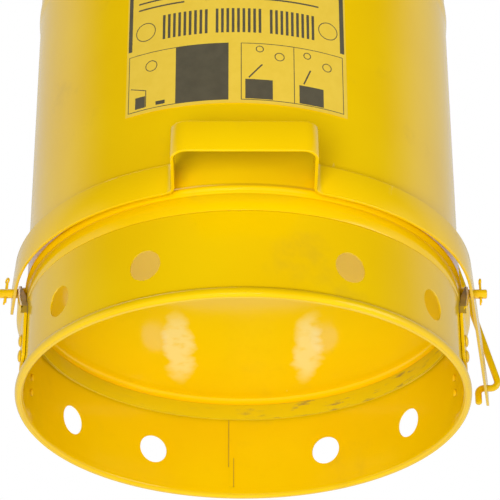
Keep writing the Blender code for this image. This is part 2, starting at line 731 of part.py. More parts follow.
def make_front_label(mat):
    """The thin printed panel stuck on the front of the shell."""
    radius = WALL_RADIUS + GAP
    profile = [(radius, LABEL_TOP), (radius, LABEL_BOTTOM)]
    obj = sector("front_label", profile, LABEL_AZIMUTH, LABEL_HALF_ANGLE, LABEL_THICKNESS, 14)
    return place(obj, mat)


def build():
    clear_scene()
    yellow = material("yellow powder coat", (0.83, 0.50, 0.01), 0.22)
    hardware = material("yellow coated hardware", (0.80, 0.47, 0.01), 0.28)
    label = material("label film", (0.86, 0.62, 0.10), 0.40)

    hinge = pivot_empty("lid_axis", (0.0, HINGE_Y, HINGE_Z))
    pivot = pivot_empty("pedal_axis", (0.0, 0.0, PIVOT_Z))
    rod_joint = pivot_empty("rod_axis", (arm_x(ROD_Y), ROD_Y, PIVOT_Z))

    make_body_shell(yellow)
    make_base_skirt(yellow)
    make_bottom_pan(yellow)
    make_front_label(label)
    make_lid_cover(yellow, hinge)
    make_lid_hinge_strap(yellow, hinge)
    make_lid_rivets(hardware, hinge)
    make_body_hinge_bracket(yellow)
    make_hinge_rivets(hardware)
    make_hinge_shaft(hardware, hinge)
    shaft_hole = (SHAFT_COTTER_X, HINGE_Y, HINGE_Z)
    make_cotter("shaft_cotter", shaft_hole, 0.0095, 0.0080, hardware, hinge)
    make_lid_crank(yellow, hinge)
    make_pedal_yoke(yellow, pivot)
    for side in (-1, 1):
        make_pivot_bracket(side, yellow)
        make_pivot_pin(side, hardware)
        name = "pivot_cotter_right" if side > 0 else "pivot_cotter_left"
        make_cotter(name, (side * COTTER_X, 0.0, PIVOT_Z), 0.0100, 0.0066, hardware)
    make_bracket_rivets(hardware)
    make_linkage_rod(yellow, rod_joint)
    make_rod_washer(hardware, rod_joint)
    rod_hole = (ROD_COTTER_X, *crank_pin_place())
    make_cotter("rod_cotter", rod_hole, 0.0085, 0.0060, hardware, rod_joint)


build()
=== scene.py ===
"""Looks for the foot-operated oily waste can: meshes, painted finishes, label, light and camera."""

import json
import math

import bmesh
import bpy
from mathutils import Matrix, Vector

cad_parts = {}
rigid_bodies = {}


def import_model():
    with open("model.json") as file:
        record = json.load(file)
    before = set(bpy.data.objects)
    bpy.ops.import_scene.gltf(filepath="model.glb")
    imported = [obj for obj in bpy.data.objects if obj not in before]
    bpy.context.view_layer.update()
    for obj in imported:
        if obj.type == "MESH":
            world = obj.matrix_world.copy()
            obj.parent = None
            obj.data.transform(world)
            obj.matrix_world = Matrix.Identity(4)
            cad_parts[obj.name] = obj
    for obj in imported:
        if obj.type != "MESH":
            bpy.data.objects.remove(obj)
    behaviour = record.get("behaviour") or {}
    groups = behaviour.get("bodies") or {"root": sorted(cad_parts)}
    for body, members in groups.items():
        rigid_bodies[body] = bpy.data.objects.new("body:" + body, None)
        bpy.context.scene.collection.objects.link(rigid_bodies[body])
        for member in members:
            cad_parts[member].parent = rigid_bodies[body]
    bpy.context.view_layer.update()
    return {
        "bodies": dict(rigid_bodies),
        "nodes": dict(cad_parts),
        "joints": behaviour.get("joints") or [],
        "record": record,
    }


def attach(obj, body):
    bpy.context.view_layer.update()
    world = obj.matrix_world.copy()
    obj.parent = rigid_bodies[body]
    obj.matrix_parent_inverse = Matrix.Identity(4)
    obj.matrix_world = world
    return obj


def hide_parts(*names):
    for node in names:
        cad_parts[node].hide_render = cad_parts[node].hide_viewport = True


AXIS = Vector((-0.011931, 0.013250, 0.0))
FOOT_R, WALL_R, SHEET, GAP = 0.1510, 0.1464, 0.0008, 0.0003
STEPS = 192
FOOT_BEAD_R, FOOT_BEAD_HALF = 0.0028, 0.00365
LEDGE_Z = 0.0628
LID_TOP, LID_EDGE, LID_EDGE_R, LID_SHEET = 0.403, 0.385, 0.004, 0.0009
HINGE_Y, HINGE_Z = 0.1630, 0.3660
PIVOT_Z, ROD_Y = 0.0850, 0.1420
RING_R, SLOPE = 0.1540, 0.16
TAB_HALF, TAB_FRONT, TAB_CORNER, TAB_FILLET = 0.0443, 0.1965, 0.0095, 0.008
YOKE_HALF_HEIGHT, YOKE_HALF_SHEET = 0.0105, 0.001
LEFT_ARM_END, RIGHT_ARM_END, HOLE_PLAY = 0.0110, 0.15, 0.0006
VENT_Z, VENT_R = 0.0309, 0.0104
# Strips down the skirt's rear seam; the thin ones carry a painted shadow line.
SEAM_STRIPS = ((184.0, 0.0005, 0.0230, 0.0600, 0.0009), (183.1, 0.0040, 0.0074, 0.0600, 0.0006),
               (182.6, 0.0005, 0.0074, 0.0300, 0.0008))
VENTS = [side * a + 1.0 for a in (25.8, 54.4, 126.2, 154.9) for side in (-1, 1)]
RIVET_AZ, RIVET_Z = 10.4, (0.0232, 0.0346)
RIVET_STAND = 0.0007
RIVET_HEAD_R, RIVET_HEAD, RIVET_TAIL_R, RIVET_TAIL, RIVET_SHANK_R = 0.0042, 0.0017, 0.0026, 0.0008, 0.0021
BRACKET_LOW_R, BRACKET_HIGH_R, BRACKET_SHEET, BRACKET_HALF_ANGLE = WALL_R + 0.0004, 0.1503, 0.002, 13.5
BRACKET_TOP, CROWN_R, BRACKET_SHOULDER = 0.0893, 0.0105, 0.0565
BRACKET_CORNER, CORNER_Z = 0.006, 0.0240
PIN_R, PIN_START, PIN_TIP, PIN_HEAD, PIN_HEAD_R, COTTER_X = 0.003175, 0.1478, 0.1656, 0.0022, 0.0042, 0.1613
COTTER_WIRE, COTTER_EYE, COTTER_HOLE_R = 0.00066, 0.0017, 0.00135
ROD_R, ROD_TOP_X, ROD_COTTER_X, HOOK_IN = 0.0025, 0.1156, 0.0946, 0.0062
CRANK_Y, CRANK_Z = HINGE_Y - 0.029 * math.cos(math.radians(30)), HINGE_Z - 0.0145
LABEL_AZ, LABEL_HALF, LABEL_LOW, LABEL_TOP = -2.2, 29.2, 0.1428, 0.2820
LABEL_TILT, FILM, INK_FILM, FINE_INK = -0.0000625, 0.00022, 0.00005, 0.00004
TILES_LOW, TILES_HIGH = 0.1452, 0.1895
LABEL_BLOCKS = ((0.3, 7.2, TILES_LOW + 0.001, 0.1612), (14.0, 20.4, TILES_LOW + 0.001, 0.1602),
                (-28.6, -25.8, TILES_LOW + 0.002, 0.1560), (-22.8, -20.3, TILES_LOW + 0.002, 0.1500),
                (-31.0, -29.9, 0.1935, 0.2760), (25.3, 26.5, 0.1925, 0.2760))
LABEL_RINGS = ((-26.0, 0.2065, 0.0070), (22.0, 0.2075, 0.0066), (-24.2, 0.1785, 0.0040),
               (-12.4, 0.1815, 0.0032), (4.0, 0.1850, 0.0023), (9.0, 0.1800, 0.0030),
               (16.2, 0.1840, 0.0023), (21.5, 0.1780, 0.0030))
LABEL_STROKES = (([(-30.0, 0.1640), (-25.6, 0.1600), (-25.6, 0.1475)], 0.0006),
                 ([(-17.2, 0.1760), (-12.6, 0.1700)], 0.0006), ([(1.2, 0.1625), (4.6, 0.1730)], 0.0010),
                 ([(15.2, 0.1615), (17.0, 0.1730)], 0.0010))
# The pale pan tone is painted lamp reflection; the band tone darkens the pan's flange.
PAN_REFLECTION_TONE, BAND_TONE = (1.0, 0.86, 0.40, 1), (0.20, 0.34, 0.01, 1)
# The near-black skirt tone darkens the whole skirt a little and paints shade inside it.
STREAK_TONE, SKIRT_TINT_AND_SHADE_TONE = (0.28, 0.20, 0.06, 1), (0.05, 0.04, 0.0, 1)
SCUFF_TONE, GRIME_TONE = (0.95, 0.80, 0.38, 1), (0.40, 0.24, 0.035, 1)

LIGHTS = (("front key", (-0.30, -2.35, -1.33), 1.2, 52, False),
          ("right fill", (2.0, -1.2, -0.3), 1.4, 9, True),
          ("underside", (0.1, 0.45, -2.2), 1.5, 5, True), ("top", (-0.6, 0.4, 2.6), 1.8, 12, True))
WORLD_BRIGHT, WORLD_DIM, BELOW_SHARE, BELOW_GLOSS_CUT = 0.70, 0.04, 0.80, 0.50
FLOOR_HALF, FLOOR_DROP, FLOOR_GLOW = 4, 0.0004, 0.42
CAMERA_PLACE = Vector((-0.0350, -9.1238, -4.5153)) * 0.151
CAMERA_TURN = (0.41, 30.183, -0.144)
CAMERA_LENS = 166.99


# ---------------------------------------------------------------- small geometry helpers
def around(azimuth, radius, height):
    """A point of the can at an azimuth in degrees from the front towards +X."""
    a = math.radians(azimuth)
    return AXIS + Vector((radius * math.sin(a), -radius * math.cos(a), height))


def arc(cx, cy, radius, start, end, count, squash=1.0):
    points = []
    for i in range(count + 1):
        a = math.radians(start + (end - start) * i / count)
        points.append((cx + radius * math.cos(a), cy + radius * squash * math.sin(a)))
    return points


def new_mesh(name, verts, faces):
    mesh = bpy.data.meshes.new(name)
    mesh.from_pydata([tuple(v) for v in verts], [], faces)
    return mesh


def shade(mesh, angle=33.0):
    """Smooth shading, with edges sharper than an angle left crisp."""
    bm = bmesh.new()
    bm.from_mesh(mesh)
    bmesh.ops.recalc_face_normals(bm, faces=bm.faces)
    limit = math.radians(angle)
    for face in bm.faces:
        face.smooth = True
    for edge in bm.edges:
        edge.smooth = len(edge.link_faces) == 2 and edge.calc_face_angle() < limit
    bm.to_mesh(mesh)
    bm.free()


def radial_normals(mesh):
    """Gives upright cylinder walls their true radial normals, so cut holes leave no shading marks."""
    normals = []
    for poly in mesh.polygons:
        upright = abs(poly.normal.z) < 0.02
        for loop in poly.loop_indices:
            co = mesh.vertices[mesh.loops[loop].vertex_index].co
            out = Vector((co.x - AXIS.x, co.y - AXIS.y, 0.0)).normalized()
            normal = mesh.corner_normals[loop].vector.copy()
            if upright and abs(out.dot(poly.normal)) > 0.995:
                normal = out if out.dot(poly.normal) > 0 else -out
            normals.append(normal)
    mesh.normals_split_custom_set(normals)


def revolve(profile, steps, place=None, closed=True):
    """Verts and faces of a (radius, height) profile turned about the can's axis, or a given matrix."""
    place = place or Matrix.Translation(AXIS)
    verts, rings, faces = [], [], []
    for r, z in profile:
        if r < 1e-7:
            rings.append([len(verts)] * steps)
            verts.append(place @ Vector((0, 0, z)))
            continue
        rings.append(list(range(len(verts), len(verts) + steps)))
        for i in range(steps):
            a = 2 * math.pi * i / steps
            verts.append(place @ Vector((r * math.sin(a), -r * math.cos(a), z)))
    pairs = list(zip(rings, rings[1:])) + ([(rings[-1], rings[0])] if closed else [])
    for low, high in pairs:
        for i in range(steps):
            j = (i + 1) % steps
            corners = []
            for v in (low[i], low[j], high[j], high[i]):
                if v not in corners:
                    corners.append(v)
            if len(corners) > 2:
                faces.append(corners)
    return verts, faces


def tube(path, radius, segments=16, round_end=0.7):
    """A round wire along a path, its ends slightly domed."""
    path = [Vector(p) for p in path]
    last = len(path) - 1
    tangents = [(path[min(i + 1, last)] - path[max(i - 1, 0)]).normalized() for i in range(last + 1)]
    side = tangents[0].orthogonal().normalized()
    rings = []
    dome = [(round_end * math.sin(a), math.cos(a)) for a in (math.radians(x) for x in (80, 55, 28))]
    frames = []
    for t in tangents:
        side = (side - t * side.dot(t)).normalized()
        frames.append((side.copy(), t.cross(side)))
    for reach, share in dome:
        rings.append((path[0] - tangents[0] * radius * reach, radius * share, frames[0]))
    for p, frame in zip(path, frames):
        rings.append((p, radius, frame))
    for reach, share in reversed(dome):
        rings.append((path[-1] + tangents[-1] * radius * reach, radius * share, frames[-1]))
    verts, faces = [], []
    for centre, r, (u, v) in rings:
        for i in range(segments):
            a = 2 * math.pi * i / segments
            verts.append(centre + u * (r * math.cos(a)) + v * (r * math.sin(a)))
    for k in range(len(rings) - 1):
        low, high = k * segments, (k + 1) * segments
        for i in range(segments):
            j = (i + 1) % segments
            faces.append([low + i, low + j, high + j, high + i])
    faces.append(list(range(segments)))
    faces.append([len(verts) - 1 - i for i in range(segments)])
    return verts, faces


def prism(outline, low, high, to_world):
    """A flat outline given a thickness; to_world turns (x, y, depth) into a point."""
    count = len(outline)
    verts = [to_world(x, y, low) for x, y in outline] + [to_world(x, y, high) for x, y in outline]
    faces = [list(range(count)), list(range(2 * count - 1, count - 1, -1))]
    faces += [[i, (i + 1) % count, count + (i + 1) % count, count + i] for i in range(count)]
    return verts, faces


def bend_path(corners, radius, count):
    """A polyline with its inner corners rounded."""
    path = [Vector(corners[0])]
    for before, corner, after in zip(corners, corners[1:], corners[2:]):
        corner = Vector(corner)
        back, ahead = (Vector(before) - corner).normalized(), (Vector(after) - corner).normalized()
        half = back.angle(ahead) / 2
        centre = corner + (back + ahead).normalized() * (radius / math.sin(half))
        start, end = corner + back * (radius / math.tan(half)), corner + ahead * (radius / math.tan(half))
        for i in range(count + 1):
            spoke = (start - centre).normalized().slerp((end - centre).normalized(), i / count)
            path.append(centre + spoke * (start - centre).length)
    path.append(Vector(corners[-1]))
    return path


def cut(mesh, cutters, operation="DIFFERENCE"):
    """The mesh with other closed shapes cut out of it."""
    holder = bpy.data.objects.new("work", mesh)
    bpy.context.scene.collection.objects.link(holder)
    tools = []
    for verts, faces in cutters:
        tool = bpy.data.objects.new("tool", new_mesh("tool", verts, faces))
        shade(tool.data)
        bpy.context.scene.collection.objects.link(tool)
        tools.append(tool)
        modifier = holder.modifiers.new("cut", "BOOLEAN")
        modifier.operation, modifier.object, modifier.solver = operation, tool, "EXACT"
    bpy.context.view_layer.update()
    result = bpy.data.meshes.new_from_object(holder.evaluated_get(bpy.context.evaluated_depsgraph_get()))
    for obj in [holder] + tools:
        bpy.data.objects.remove(obj, do_unlink=True)
    for face in result.polygons:
        face.material_index = 0
    return result


def bevel(mesh, width, segments=2, angle=40.0):
    """Rounds every edge sharper than an angle."""
    bm = bmesh.new()
    bm.from_mesh(mesh)
    bmesh.ops.remove_doubles(bm, verts=bm.verts, dist=2e-6)
    bmesh.ops.dissolve_limit(bm, angle_limit=math.radians(0.4), verts=bm.verts, edges=bm.edges)
    edges = [e for e in bm.edges if len(e.link_faces) == 2 and e.calc_face_angle() > math.radians(angle)]
    bmesh.ops.bevel(bm, geom=edges, offset=width, segments=segments, profile=0.5, affect="EDGES",
                    clamp_overlap=True)
    bm.to_mesh(mesh)
    bm.free()
    return mesh


def cylinder(centre, direction, radius, length, steps=32):
    place = Matrix.Translation(centre) @ Vector(direction).to_track_quat("Z", "Y").to_matrix().to_4x4()
    half = length / 2
    return revolve([(0, -half), (radius, -half), (radius, half), (0, half)], steps, place, False)


def piece(name, mesh, mat, body, *nodes):
    """Shows a finished mesh in place of CAD nodes, on their body."""
    obj = bpy.data.objects.new(name, mesh)
    bpy.context.scene.collection.objects.link(obj)
    if mesh.materials:
        mesh.materials.clear()
    for m in mat if isinstance(mat, list) else [mat]:
        mesh.materials.append(m)
    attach(obj, body)
    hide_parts(*nodes)
    return obj


# ---------------------------------------------------------------- materials
class Graph:
    """Short calls for building a material's node tree."""

    def __init__(self, tree):
        self.tree = tree

    def node(self, kind, **values):
        made = self.tree.nodes.new(kind)
        for key, value in values.items():
            if key in made.inputs.keys():
                self.feed(made.inputs[key], value)
            else:
                setattr(made, key, value)
        return made

    def feed(self, socket, value):
        if isinstance(value, bpy.types.NodeSocket):
            self.tree.links.new(value, socket)
        else:
            socket.default_value = value

    def math(self, operation, a, b=0.0, clamp=False):
        made = self.tree.nodes.new("ShaderNodeMath")
        made.operation, made.use_clamp = operation, clamp
        self.feed(made.inputs[0], a)
        self.feed(made.inputs[1], b)
        return made.outputs[0]

    def noise(self, vector, scale, detail=2.0, rough=0.5):
        made = self.node("ShaderNodeTexNoise", Scale=scale, Detail=detail, Roughness=rough, Vector=vector)
        return made.outputs["Fac"]

    def stretch(self, vector, scale):
        made = self.node("ShaderNodeMapping", vector_type="POINT", Vector=vector)
        made.inputs["Scale"].default_value = scale
        return made.outputs["Vector"]

    def ramp(self, value, low, high):
        made = self.node("ShaderNodeMapRange", Value=value)
        made.interpolation_type = "SMOOTHSTEP"
        made.inputs["From Min"].default_value, made.inputs["From Max"].default_value = low, high
        return made.outputs["Result"]

    def mix(self, factor, a, b):
        made = self.node("ShaderNodeMix", data_type="RGBA")
        self.feed(made.inputs["Factor"], factor)
        self.feed(made.inputs[6], a)
        self.feed(made.inputs[7], b)
        return made.outputs[2]


def coat_material(name, colour, shaded, roughness, marks, extra=None):
    """Glossy paint over sheet steel: uneven film, fine orange peel, faint scuffs and grime."""
    mat = bpy.data.materials.new(name)
    mat.use_nodes = True
    tree = mat.node_tree
    shader = tree.nodes["Principled BSDF"]
    g = Graph(tree)
    place = g.node("ShaderNodeTexCoord").outputs["Object"]
    cloud = g.noise(place, 14.0, 3.0)
    tone = g.mix(g.ramp(cloud, 0.30, 0.72), (*colour, 1), (*shaded, 1))
    scuff_space = g.stretch(place, (60.0, 60.0, 13.0))
    scuffs = g.ramp(g.noise(scuff_space, 1.0, 5.0, 0.7), 0.690, 0.76)
    region = g.ramp(g.noise(place, 9.0, 1.0), 0.52, 0.66)
    scuffs = g.math("MULTIPLY", g.math("MULTIPLY", scuffs, region), 0.55 * marks)
    tone = g.mix(scuffs, tone, SCUFF_TONE)
    specks = g.ramp(g.noise(place, 330.0, 2.0, 0.6), 0.735, 0.79)
    grime = g.ramp(g.noise(place, 22.0, 4.0, 0.65), 0.56, 0.78)
    dirt = g.math("MAXIMUM", g.math("MULTIPLY", specks, grime), g.math("MULTIPLY", grime, 0.16))
    tone = g.mix(g.math("MULTIPLY", dirt, marks), tone, GRIME_TONE)
    if extra:
        tone = extra(g, place, tone)
    g.feed(shader.inputs["Base Color"], tone)
    rough = g.node("ShaderNodeMapRange", Value=g.noise(place, 38.0, 4.0, 0.6))
    rough.inputs["To Min"].default_value = roughness * 0.75
    rough.inputs["To Max"].default_value = roughness * 1.4
    worn = g.math("MULTIPLY", scuffs, 0.5)
    g.feed(shader.inputs["Roughness"], g.math("ADD", rough.outputs["Result"], worn))
    shader.inputs["IOR"].default_value = 1.50
    peel = g.node("ShaderNodeBump", Strength=0.10, Distance=0.0002, Height=g.noise(place, 620.0, 2.0))
    swell = g.noise(g.stretch(place, (1, 1, 0.45)), 17.0, 1.0)
    wave = g.node("ShaderNodeBump", Strength=0.16, Distance=0.0016, Height=swell)
    g.feed(wave.inputs["Normal"], peel.outputs["Normal"])
    g.feed(shader.inputs["Normal"], wave.outputs["Normal"])
    return mat


def skirt_tint_and_shade(g, place, tone):
    """The skirt is painted a little darker than the wall, and darker still inside, where the darkening is
    painted shade in the hollow.
    """
    space = g.node("ShaderNodeSeparateXYZ", Vector=place)
    x, y = g.math("SUBTRACT", space.outputs["X"], AXIS.x), g.math("SUBTRACT", space.outputs["Y"], AXIS.y)
    radius = g.math("SQRT", g.math("ADD", g.math("MULTIPLY", x, x), g.math("MULTIPLY", y, y)))
    # Painted shade: the skirt's inner face is darkened further.
    inside = g.ramp(radius, WALL_R - 0.0002, WALL_R - 0.0005)
    return g.mix(g.math("ADD", g.math("MULTIPLY", inside, 0.12), 0.06), tone, SKIRT_TINT_AND_SHADE_TONE)


def pan_reflections_and_marks(g, place, tone):
    """Two pale painted reflections of the side lamps on the pan's underside, and a darker olive, speckled
    band round its flange.
    """
    space = g.node("ShaderNodeSeparateXYZ", Vector=place)
    across = g.math("SUBTRACT", g.math("ABSOLUTE", g.math("SUBTRACT", space.outputs["X"], AXIS.x)), 0.0455)
    along = g.math("SUBTRACT", space.outputs["Y"], AXIS.y + 0.064)
    wobble = g.math("MULTIPLY", g.math("SUBTRACT", g.noise(place, 60.0, 3.0), 0.5), 0.016)
    across = g.math("DIVIDE", g.math("ADD", across, wobble), 0.0105)
    along = g.math("DIVIDE", along, 0.052)
    reach = g.math("ADD", g.math("MULTIPLY", across, across), g.math("MULTIPLY", along, along))
    # Painted reflection: two pale, wiped-looking patches where the side lamps would mirror in the pan.
    lamp_reflection = g.math("MULTIPLY", g.ramp(reach, 1.3, 0.25), g.ramp(g.noise(place, 95.0, 3.0), 0.10, 0.50))
    tone = g.mix(g.math("MULTIPLY", lamp_reflection, 0.62), tone, PAN_REFLECTION_TONE)
    band = g.ramp(space.outputs["Z"], 0.0728, 0.0716)
    tone = g.mix(g.math("MULTIPLY", band, 0.34), tone, BAND_TONE)
    streaks = g.ramp(g.noise(g.stretch(place, (45, 45, 260)), 1.0, 5.0, 0.7), 0.52, 0.70)
    side = g.ramp(space.outputs["X"], AXIS.x - 0.02, AXIS.x + 0.02)
    amount = g.math("ADD", g.math("MULTIPLY", side, 0.75), 0.12)
    return g.mix(g.math("MULTIPLY", g.math("MULTIPLY", band, streaks), amount), tone, STREAK_TONE)


def film_material(name, colour, shaded, roughness):
    """Printed film: flat ink with faint mottling and a soft sheen."""
    mat = bpy.data.materials.new(name)
    mat.use_nodes = True
    shader = mat.node_tree.nodes["Principled BSDF"]
    g = Graph(mat.node_tree)
    place = g.node("ShaderNodeTexCoord").outputs["Object"]
    mottle = g.ramp(g.noise(place, 120.0, 4.0, 0.6), 0.3, 0.75)
    g.feed(shader.inputs["Base Color"], g.mix(mottle, (*colour, 1), (*shaded, 1)))
    sheen = g.node("ShaderNodeMapRange", Value=g.noise(place, 60.0, 3.0))
    sheen.inputs["To Min"].default_value, sheen.inputs["To Max"].default_value = roughness, roughness + 0.15
    g.feed(shader.inputs["Roughness"], sheen.outputs["Result"])
    bump = g.node("ShaderNodeBump", Strength=0.08, Distance=0.0001, Height=g.noise(place, 400.0, 2.0))
    g.feed(shader.inputs["Normal"], bump.outputs["Normal"])
    return mat


# ---------------------------------------------------------------- the can's sheet pieces
def bead(low, high, height, count=12):
    """A shallow rounded bead on the wall, from its top edge down."""
    return [(WALL_R + height * math.sin(math.pi * i / count) ** 2, high + (low - high) * i / count)
            for i in range(count + 1)]


def build_shell(mat):
    curl_r, curl_z, curl_radius = WALL_R + 0.0012, 0.3814, 0.0021
    curl = arc(curl_r, curl_z, curl_radius, 100, -124, 22)
    outer = bead(0.2907, 0.3133, 0.0009, 16) + bead(0.0766, 0.0832, 0.0011)
    crease = [(WALL_R - 0.0003, 0.0761), (WALL_R - 0.0004, 0.0756), (WALL_R - 0.0002, 0.0750)]
    crease.append((WALL_R, 0.0744))
    foot = [(WALL_R, 0.0636), (WALL_R - 0.0002, 0.0632), (WALL_R - SHEET, 0.0631)]
    inner = [(WALL_R - SHEET, 0.19), (WALL_R - SHEET, 0.30), (WALL_R - SHEET, 0.3808)]
    profile = curl + outer + crease + foot + inner + arc(curl_r, curl_z, curl_radius, 165, 115, 5)
    mesh = new_mesh("body_shell", *revolve(profile, STEPS))
    shade(mesh, 50)
    piece("shell", mesh, mat, "root", "body_shell")


def build_skirt(mat, shade_mat):
    outer, inner = WALL_R + 0.0001, WALL_R + 0.0001 - SHEET
    tuck, tuck_top, ledge = WALL_R - SHEET - GAP, 0.072, LEDGE_Z
    wall = [(tuck, tuck_top), (tuck, ledge + 0.0002), (tuck + 0.0003, ledge), (outer - 0.0002, ledge)]
    wall.append((outer, ledge - 0.0003))
    bead_r, tall = FOOT_R - FOOT_BEAD_R, FOOT_BEAD_HALF / FOOT_BEAD_R
    foot = arc(bead_r, FOOT_BEAD_HALF, FOOT_BEAD_R, 127, -68, 20, tall) + [(0.1492, 0.0), (0.1472, 0.0)]
    foot += arc(bead_r, FOOT_BEAD_HALF, FOOT_BEAD_R, -112, -180, 8, tall)
    inside = [(inner, 2 * FOOT_BEAD_HALF), (inner, ledge - 0.0022), (tuck - SHEET, ledge - 0.0008)]
    inside.append((tuck - SHEET, tuck_top))
    mesh = new_mesh("base_skirt", *revolve(wall + foot + inside, STEPS))
    shade(mesh)
    mesh = cut(mesh, [cylinder(around(a, WALL_R, VENT_Z), around(a, 1, 0) - AXIS, VENT_R, 0.02, 64)
                      for a in VENTS])
    shade(mesh)
    seam = bmesh.new()
    seam.from_mesh(mesh)
    # The thin strips take the painted shade material: a painted shadow along the seam's edges.
    for azimuth, width, low, high, depth in SEAM_STRIPS:
        half = math.degrees(width / 2 / inner)
        corners = [around(a, r, z) for z in (low, high) for r in (inner - depth, inner + 0.0003)
                   for a in (azimuth - half, azimuth + half)]
        v = [seam.verts.new(c) for c in corners]
        for ids in ((0, 1, 3, 2), (4, 6, 7, 5), (0, 4, 5, 1), (2, 3, 7, 6), (0, 2, 6, 4), (1, 5, 7, 3)):
            seam.faces.new([v[i] for i in ids]).material_index = 0 if width > 0.001 else 1
    seam.to_mesh(mesh)
    seam.free()
    shade(mesh)
    radial_normals(mesh)
    piece("skirt", mesh, [mat, shade_mat], "root", "base_skirt")


def build_pan(mat):
    rim, flange, top = WALL_R - SHEET - GAP, WALL_R - 2 * SHEET - 2 * GAP, 0.0778
    bend = 0.0026
    outside = [(0, top), (0.06, top), (rim - 0.004, top)] + arc(rim - bend, top - bend, bend, 90, 0, 8)
    outside += [(rim, 0.0728), (rim - 0.0003, 0.0723), (flange + 0.0002, 0.0719), (flange, 0.0714)]
    outside += [(flange, 0.0603), (flange - 0.0004, 0.0601)]
    thin = flange - SHEET
    inside = [(thin, 0.0603), (thin, 0.0712), (thin + 0.0002, 0.0718), (rim - SHEET, 0.0729)]
    inside += arc(rim - bend - SHEET, 0.0744, bend, 0, 90, 8) + [(0.06, top - SHEET), (0, top - SHEET)]
    mesh = new_mesh("bottom_pan", *revolve(outside + inside, STEPS, closed=False))
    shade(mesh, 40)
    piece("pan", mesh, mat, "root", "bottom_pan")


def dome(radius, top):
    """The height of the lid's dome at a radius, below a given top."""
    edge = FOOT_R - LID_EDGE_R
    rise = LID_TOP - LID_EDGE
    sphere = (edge * edge + rise * rise) / (2 * rise)
    return top - (sphere - math.sqrt(sphere * sphere - radius * radius))


def build_lid(mat):
    edge, bend_z, rows = FOOT_R - LID_EDGE_R, 0.381, 18
    reach = [edge * i / rows for i in range(rows)]
    outside = [(r, dome(r, LID_TOP)) for r in reach] + arc(edge, bend_z, LID_EDGE_R, 90, 0, 10)
    hem = [(FOOT_R, 0.3700), (FOOT_R - 0.0001, 0.3693), (FOOT_R - 0.00045, 0.3690)]
    hem.append((FOOT_R - LID_SHEET + 0.0001, 0.3693))
    inside = arc(edge, bend_z, LID_EDGE_R - LID_SHEET, 0, 90, 10)
    inside += [(r, dome(r, LID_TOP - LID_SHEET)) for r in reversed(reach)]
    mesh = new_mesh("lid", *revolve(outside + hem + inside, STEPS, closed=False))
    shade(mesh, 40)
    piece("lid", mesh, mat, "lid", "lid_cover")


# ---------------------------------------------------------------- label
def patch(bm, az0, az1, z0, z1, radius, thickness, index):
    """A thin curved panel of the label, tilted as the film is."""
    steps = max(1, round(abs(az1 - az0) / 1.5))
    grid = []
    for r in (radius, radius + thickness):
        for low, z in ((0, z0), (1, z1)):
            row = []
            for i in range(steps + 1):
                a = az0 + (az1 - az0) * i / steps
                row.append(bm.verts.new(around(a, r, z + LABEL_TILT * (a - LABEL_AZ))))
            grid.append(row)
    back0, back1, front0, front1 = grid
    faces = []
    for i in range(steps):
        for a, b in ((front0, front1), (back1, back0), (front1, back1), (back0, front0)):
            faces.append(bm.faces.new((a[i], a[i + 1], b[i + 1], b[i])))
    for i in (0, steps):
        faces.append(bm.faces.new((back0[i], back1[i], front1[i], front0[i])))
    for face in faces:
        face.material_index = index


def frame_line(bm, az0, az1, z0, z1, radius, width=0.0005):
    turn = math.degrees(width / radius)
    for a0, a1, b0, b1 in ((az0, az1, z0, z0 + width), (az0, az1, z1 - width, z1),
                           (az0, az0 + turn, z0, z1), (az1 - turn, az1, z0, z1)):
        patch(bm, a0, a1, b0, b1, radius, FINE_INK, 1)


def stroke(bm, points, width, radius):
    """A printed line along (azimuth, height) points."""
    turn = math.degrees(1 / radius)
    flat = [Vector((points[0][0] / turn, points[0][1]))]
    for a, z in points[1:]:
        start, end = flat[-1], Vector((a / turn, z))
        count = max(1, round((end - start).length / 0.0015))
        flat += [start.lerp(end, i / count) for i in range(1, count + 1)]
    rows = []
    for i, point in enumerate(flat):
        along = (flat[min(i + 1, len(flat) - 1)] - flat[max(i - 1, 0)]).normalized()
        side = Vector((-along.y, along.x)) * width / 2
        row = []
        for corner, lift in ((point + side, 0.0), (point - side, 0.0), (point - side, INK_FILM),
                             (point + side, INK_FILM)):
            azimuth = corner.x * turn
            row.append(bm.verts.new(around(azimuth, radius + lift,
                                           corner.y + LABEL_TILT * (azimuth - LABEL_AZ))))
        rows.append(row)
    faces = [bm.faces.new(rows[0]), bm.faces.new(rows[-1][::-1])]
    for first, second in zip(rows, rows[1:]):
        for i in range(4):
            j = (i + 1) % 4
            faces.append(bm.faces.new((first[i], first[j], second[j], second[i])))
    for face in faces:
        face.material_index = 1


